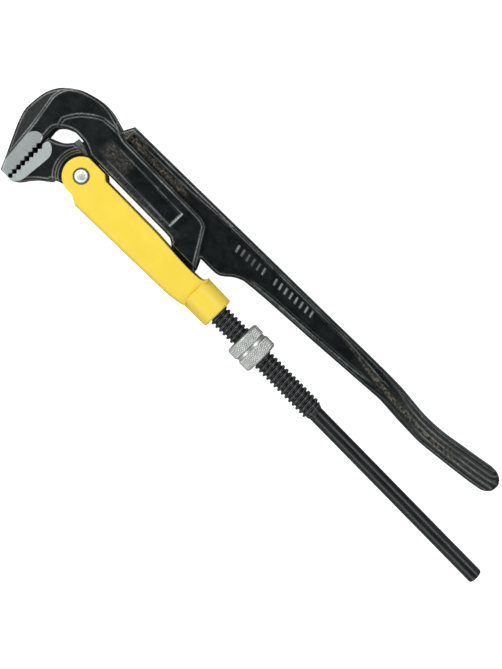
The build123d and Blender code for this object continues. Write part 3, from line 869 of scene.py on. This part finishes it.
# ---- materials ----
class Recipe:
    """A procedural material under construction."""

    def __init__(self, title, roughness=0.5, metallic=0.0, specular=0.5):
        self.material = bpy.data.materials.new(title)
        self.material.use_nodes = True
        self.tree = self.material.node_tree
        self.shader = self.tree.nodes["Principled BSDF"]
        uniform = {"Roughness": roughness, "Metallic": metallic, "Specular IOR Level": specular}
        for name, value in uniform.items():
            self.shader.inputs[name].default_value = value
        self.place = self.tree.nodes.new("ShaderNodeTexCoord").outputs["Object"]

    def link(self, value, socket):
        """Feeds a socket from another one, or sets it to a number or a colour."""
        if isinstance(value, bpy.types.NodeSocket):
            self.tree.links.new(value, socket)
        else:
            socket.default_value = (*value, 1.0) if isinstance(value, tuple) else value

    def noise(self, size_mm, detail=4.0, rough=0.55, stretch=(1, 1, 1)):
        """Noise from 0 to 1 whose lumps are about size_mm across."""
        mapping = self.tree.nodes.new("ShaderNodeMapping")
        mapping.inputs["Scale"].default_value = stretch
        self.link(self.place, mapping.inputs["Vector"])
        node = self.tree.nodes.new("ShaderNodeTexNoise")
        node.inputs["Scale"].default_value = 1 / (size_mm * MM)
        node.inputs["Detail"].default_value = detail
        node.inputs["Roughness"].default_value = rough
        self.link(mapping.outputs[0], node.inputs["Vector"])
        return node.outputs["Fac"]

    def cells(self, size_mm):
        """Distance to the nearest of scattered points about size_mm apart."""
        node = self.tree.nodes.new("ShaderNodeTexVoronoi")
        node.inputs["Scale"].default_value = 1 / (size_mm * MM)
        self.link(self.place, node.inputs["Vector"])
        return node.outputs["Distance"]

    def fit(self, value, low, high, to_low=0.0, to_high=1.0):
        """value between low and high, stretched to between to_low and to_high."""
        node = self.tree.nodes.new("ShaderNodeMapRange")
        node.interpolation_type = "SMOOTHSTEP"
        for socket, number in zip(node.inputs, (value, low, high, to_low, to_high)):
            self.link(number, socket)
        return node.outputs["Result"]

    def math(self, operation, a, b=0.0):
        node = self.tree.nodes.new("ShaderNodeMath")
        node.operation = operation
        self.link(a, node.inputs[0])
        self.link(b, node.inputs[1])
        return node.outputs[0]

    def mix(self, share, a, b):
        """Colour a where share is 0 and b where it is 1."""
        node = self.tree.nodes.new("ShaderNodeMix")
        node.data_type = "RGBA"
        self.link(share, node.inputs["Factor"])
        self.link(a, node.inputs["A"])
        self.link(b, node.inputs["B"])
        return node.outputs["Result"]

    def field(self, name):
        """A value that the mesh carries on its vertices."""
        node = self.tree.nodes.new("ShaderNodeAttribute")
        node.attribute_name = name
        return node.outputs["Fac"]

    def bump(self, height, depth_mm, strength, under=None):
        node = self.tree.nodes.new("ShaderNodeBump")
        node.inputs["Strength"].default_value = strength
        node.inputs["Distance"].default_value = depth_mm * MM
        self.link(height, node.inputs["Height"])
        if under is not None:
            self.link(under, node.inputs["Normal"])
        return node.outputs["Normal"]

    def finish(self, colour, roughness=None, normal=None):
        self.link(colour, self.shader.inputs["Base Color"])
        if roughness is not None:
            self.link(roughness, self.shader.inputs["Roughness"])
        if normal is not None:
            self.link(normal, self.shader.inputs["Normal"])
        return self.material


def black_forging():
    """Blackened drop forging: dark scale with a soft shine, rough dusty hollows, ridges worn bright with
    painted highlights.
    """
    r = Recipe("black_forging", specular=0.28)
    clouds = r.noise(7.0, 3.0)
    patches = r.noise(16.0, 3.0)
    grain = r.noise(0.9, 6.0, 0.65)
    crumb = r.noise(1.5, 5.0, 0.7)
    rough, dust = r.field("rough"), r.field("dust")
    edge = r.math("MAXIMUM", r.math("MULTIPLY", r.field("edge"), 0.5), r.field("worn"))
    colour = r.mix(r.fit(clouds, 0.3, 0.7), (0.0020, 0.0036, 0.0037), (0.0050, 0.0078, 0.0080))
    crumbs = r.fit(crumb, 0.46, 0.60)
    colour = r.mix(r.math("MULTIPLY", dust, crumbs), colour, (0.115, 0.100, 0.070))
    dots = r.math("MULTIPLY", r.fit(r.cells(1.9), 0.08, 0.20, 1.0, 0.0), r.fit(grain, 0.42, 0.56))
    colour = r.mix(r.math("MULTIPLY", dots, r.fit(rough, 0.0, 0.8, 0.10, 0.9)), colour, (0.20, 0.21, 0.19))
    uneven = r.math("MULTIPLY", r.fit(grain, 0.30, 0.56, 0.30, 1.0), r.fit(patches, 0.34, 0.60, 0.35, 1.0))
    # lighter colour on convex edges and worn lines: real wear with painted highlights
    colour = r.mix(r.math("MINIMUM", r.math("MULTIPLY", edge, uneven), 1.0), colour, (0.31, 0.335, 0.33))
    gloss = r.fit(clouds, 0.25, 0.75, 0.28, 0.38)
    gloss = r.math("ADD", gloss, r.math("MULTIPLY", rough, 0.24))
    gloss = r.math("ADD", gloss, r.fit(grain, 0.3, 0.7, -0.04, 0.06))
    skin = r.bump(grain, 0.12, 0.30)
    skin = r.bump(r.noise(2.6, 4.0), 0.25, 0.25, skin)
    skin = r.bump(r.math("MULTIPLY", crumb, rough), 1.1, 0.55, skin)
    return r.finish(colour, gloss, skin)


def ground_steel(name, shade):
    """Bare flank of a jaw with the fine parallel lines of a grinding wheel."""
    r = Recipe(name, metallic=0.8)
    lines = r.noise(0.5, 5.0, 0.7, (0.05, 1.6, 1.0))
    clouds = r.noise(5.0, 2.0)
    # shade scales the whole colour: the two flanks are lit and shaded copies of this steel
    dark, light = ((0.43 * shade, 0.47 * shade, 0.47 * shade), (0.62 * shade, 0.68 * shade, 0.67 * shade))
    colour = r.mix(r.fit(lines, 0.3, 0.7), dark, light)
    colour = r.mix(r.fit(clouds, 0.3, 0.75, 0.0, 0.3), colour, dark)
    return r.finish(colour, r.fit(lines, 0.2, 0.8, 0.36, 0.52), r.bump(lines, 0.04, 0.5))


def yellow_coat():
    """Satin powder coat with its faint orange peel and slight rubs."""
    r = Recipe("yellow_powder_coat", specular=0.4)
    peel = r.noise(0.8, 2.0, 0.4)
    clouds = r.noise(14.0, 3.0)
    rub = r.fit(r.noise(1.4, 6.0, 0.7), 0.66, 0.8)
    colour = r.mix(r.fit(clouds, 0.3, 0.7), (0.835, 0.628, 0.058), (0.875, 0.662, 0.068))
    colour = r.mix(r.math("MULTIPLY", rub, 0.16), colour, (0.78, 0.53, 0.045))
    gloss = r.fit(peel, 0.3, 0.7, 0.36, 0.48)
    return r.finish(colour, gloss, r.bump(peel, 0.05, 0.5))


def bright_zinc():
    """Zinc-plated rivet head with a bluish cast, fine scratches and a painted shade ring round its dome."""
    r = Recipe("bright_zinc", metallic=0.8)
    blotch = r.noise(2.4, 3.0)
    scratch = r.noise(0.25, 4.0, 0.6, (1.0, 0.12, 1.0))
    colour = r.mix(r.fit(blotch, 0.35, 0.7), (0.90, 0.97, 0.97), (0.74, 0.86, 0.88))
    # painted shade in the ring round the dome
    colour = r.mix(r.field("low"), colour, (0.10, 0.105, 0.10))
    return r.finish(colour, r.fit(scratch, 0.3, 0.7, 0.33, 0.45), r.bump(blotch, 0.04, 0.2))


def black_spindle():
    """Blackened and oiled steel, drawn along its length, with painted highlights on its thread crests and
    edges.
    """
    r = Recipe("black_spindle", specular=0.42)
    drawn = r.noise(0.7, 5.0, 0.6, (0.05, 1.0, 1.0))
    grain = r.noise(0.6, 5.0)
    edge = r.field("edge")
    colour = r.mix(r.fit(drawn, 0.3, 0.7), (0.0040, 0.0058, 0.0066), (0.0085, 0.0115, 0.0128))
    # painted highlight on the convex crests of the thread and the edges of the fork
    colour = r.mix(r.math("MULTIPLY", edge, r.fit(grain, 0.3, 0.65, 0.3, 0.9)), colour, (0.17, 0.18, 0.175))
    gloss = r.fit(drawn, 0.25, 0.75, 0.22, 0.36)
    return r.finish(colour, gloss, r.bump(drawn, 0.05, 0.4, r.bump(grain, 0.06, 0.3)))


def turned_steel():
    """Plain turned hinge pin."""
    r = Recipe("turned_steel", metallic=1.0)
    lines = r.noise(0.2, 3.0, 0.6, (1.0, 1.0, 0.1))
    colour = r.mix(r.fit(lines, 0.3, 0.7), (0.42, 0.42, 0.41), (0.58, 0.58, 0.57))
    return r.finish(colour, r.fit(lines, 0.3, 0.7, 0.3, 0.45), r.bump(lines, 0.03, 0.4))


def satin_nickel():
    """Matt plated nut, darker in the hollows of its knurl."""
    r = Recipe("satin_nickel", metallic=0.8)
    grain = r.noise(0.5, 5.0, 0.6)
    clouds = r.noise(4.0, 3.0)
    low = r.field("low")
    colour = r.mix(r.fit(clouds, 0.3, 0.7), (0.55, 0.575, 0.555), (0.67, 0.695, 0.675))
    colour = r.mix(r.math("MULTIPLY", low, r.fit(grain, 0.2, 0.6, 0.5, 1.0)), colour, (0.11, 0.115, 0.11))
    return r.finish(colour, r.fit(grain, 0.3, 0.7, 0.32, 0.46), r.bump(grain, 0.04, 0.3))


FLOOR_GLOW = 1.0  # a lit sheet, so that the tool casts hardly any shadow


def pale_floor():
    """White paper on a lamp: its glow is for the picture, and throws little light on the tool."""
    r = Recipe("pale_floor", roughness=0.9, specular=0.1)
    clouds = r.noise(60.0, 2.0)
    colour = r.mix(r.fit(clouds, 0.3, 0.7), (0.34, 0.34, 0.34), (0.36, 0.36, 0.36))
    seen = r.tree.nodes.new("ShaderNodeLightPath").outputs["Is Camera Ray"]
    r.shader.inputs["Emission Color"].default_value = (1, 1, 1, 1)
    r.link(r.math("MULTIPLY", seen, FLOOR_GLOW), r.shader.inputs["Emission Strength"])
    return r.finish(colour)


def vertex_vectors(mesh, kind):
    values = np.zeros(len(mesh.vertices) * 3)
    mesh.vertices.foreach_get(kind, values)
    return values.reshape(-1, 3)


def wear_field(piece, name="edge", low=0.02, high=0.16):
    """Marks the convex edges of a mesh, where scale wears away first and the materials paint highlights, or
    its hollows if high < low.
    """
    mesh = piece.data
    place, normal = vertex_vectors(mesh, "co"), vertex_vectors(mesh, "normal")
    ends = np.zeros(len(mesh.edges) * 2, np.int32)
    mesh.edges.foreach_get("vertices", ends)
    a, b = ends.reshape(-1, 2).T
    span = place[b] - place[a]
    length = np.linalg.norm(span, axis=1).clip(1e-7)
    total, times = np.zeros(len(place)), np.zeros(len(place))
    np.add.at(total, a, -(span * normal[a]).sum(1) / length)
    np.add.at(total, b, (span * normal[b]).sum(1) / length)
    np.add.at(times, a, 1)
    np.add.at(times, b, 1)
    add_field(mesh, name, ramp(total / times.clip(1), low, high))


# ---- floor, light and camera ----
FLOOR_HALF = 3.0
FLOOR_CELLS = 24  # along each side


def build_floor():
    """A wide plain sheet under the tool."""
    steps = np.linspace(-FLOOR_HALF, FLOOR_HALF, FLOOR_CELLS + 1)
    points = [(x, y, 0.0) for y in steps for x in steps]
    row = FLOOR_CELLS + 1
    faces = [(i + j * row, i + 1 + j * row, i + 1 + (j + 1) * row, i + (j + 1) * row)
             for j in range(FLOOR_CELLS) for i in range(FLOOR_CELLS)]
    mesh = bpy.data.meshes.new("floor")
    mesh.from_pydata(points, [], faces)
    mesh.materials.append(pale_floor())
    add_object("floor", mesh)


def area_light(name, place, size, power):
    """A soft box that faces the tool."""
    data = bpy.data.lights.new(name, "AREA")
    data.shape = "RECTANGLE"
    data.size, data.size_y = size
    data.energy = power
    light = add_object(name, data)
    light.location = place
    light.rotation_euler = (-Vector(place)).to_track_quat("-Z", "Y").to_euler()


SKY_SIDE = (-0.85, -0.53, 0.0)  # the brighter side
SKY_STRENGTH = (0.75, 1.65)  # on the far side and on the brighter one
SKY = ((0.0, 0.22), (0.28, 0.40), (0.50, 1.0), (0.70, 1.0), (0.88, 0.14), (1.0, 0.07))  # by height


def build_light():
    """A studio with a bright ring of soft boxes halfway up, dark overhead, and a key light."""
    world = bpy.data.worlds.new("studio")
    bpy.context.scene.world = world
    world.use_nodes = True
    tree = world.node_tree
    background = tree.nodes["Background"]
    direction = tree.nodes.new("ShaderNodeTexCoord").outputs["Generated"]
    split = tree.nodes.new("ShaderNodeSeparateXYZ")
    tree.links.new(direction, split.inputs[0])
    shade = tree.nodes.new("ShaderNodeValToRGB")
    stops = shade.color_ramp.elements
    while len(stops) < len(SKY):
        stops.new(0.5)
    for stop, (height, value) in zip(stops, SKY):
        stop.position = height
        stop.color = (value, value, value, 1)
    tree.links.new(split.outputs["Z"], shade.inputs[0])
    tree.links.new(shade.outputs["Color"], background.inputs["Color"])
    toward = tree.nodes.new("ShaderNodeVectorMath")
    toward.operation = "DOT_PRODUCT"
    toward.inputs[1].default_value = SKY_SIDE
    tree.links.new(direction, toward.inputs[0])
    brighter = tree.nodes.new("ShaderNodeMapRange")
    for socket, value in zip(brighter.inputs[1:], (-0.8, 0.8, *SKY_STRENGTH)):
        socket.default_value = value
    tree.links.new(toward.outputs["Value"], brighter.inputs[0])
    tree.links.new(brighter.outputs["Result"], background.inputs["Strength"])
    area_light("key_light", (-0.85, 0.05, 0.80), (0.5, 0.5), 3.0)
    area_light("strip_light", (0.05, 0.72, 0.90), (1.6, 0.05), 5.0)
    area_light("fill_light", (0.30, -0.85, 0.70), (1.2, 0.4), 2.0)


CAMERA_HEIGHT = 0.65  # above the middle plane of the forgings
CAMERA_AIM = (-0.0033, -0.0051)  # aim point, from the middle of the tool
CAMERA_STAND = (-0.030, 0.050)  # where the camera stands, from the aim point
CAMERA_ROLL = 45.59
CAMERA_LENS = 86.3


def build_camera():
    """A camera looking straight down, shifted so that the aim point is in the middle of the frame."""
    low, high = CAD_BOUNDS
    middle = (low + high) / 2
    data = bpy.data.cameras.new("camera")
    data.sensor_fit = "HORIZONTAL"
    data.sensor_width = 36.0
    data.lens = CAMERA_LENS
    camera = add_object("camera", data)
    aim_x, aim_y = middle.x + CAMERA_AIM[0], middle.y + CAMERA_AIM[1]
    camera.location = (aim_x + CAMERA_STAND[0], aim_y + CAMERA_STAND[1], ORIGIN[2] + CAMERA_HEIGHT)
    roll = math.radians(CAMERA_ROLL)
    seen_width = data.sensor_width / data.lens * CAMERA_HEIGHT
    data.shift_x = -(CAMERA_STAND[0] * math.cos(roll) + CAMERA_STAND[1] * math.sin(roll)) / seen_width
    data.shift_y = -(CAMERA_STAND[1] * math.cos(roll) - CAMERA_STAND[0] * math.sin(roll)) / seen_width
    camera.rotation_euler = (0.0, 0.0, roll)
    bpy.context.scene.camera = camera


def dress_cad_node(name, material):
    """A carried-over CAD node keeps its mesh and gets a finished material."""
    node = frame["nodes"][name]
    node.data.materials.clear()
    node.data.materials.append(material)


def build_tool():
    black = black_forging()
    # the hook's flank is a darker copy and the lower jaw's a lighter copy of one ground steel: painted shade
    # and painted light
    wear_field(build_main_handle(black, ground_steel("hook_flank", 0.84)))
    wear_field(build_lower_jaw(black, ground_steel("jaw_flank", 1.1)))
    wear_field(build_spindle(black_spindle()), low=0.05, high=0.3)
    nut = build_nut(satin_nickel())
    wear_field(nut, "low", -0.03, -0.16)
    build_rivet(bright_zinc())
    dress_cad_node("jaw_bracket", yellow_coat())
    dress_cad_node("spindle_hinge_pin", turned_steel())


build_floor()
build_light()
build_tool()
build_camera()
bpy.context.scene.view_settings.view_transform = "Standard"
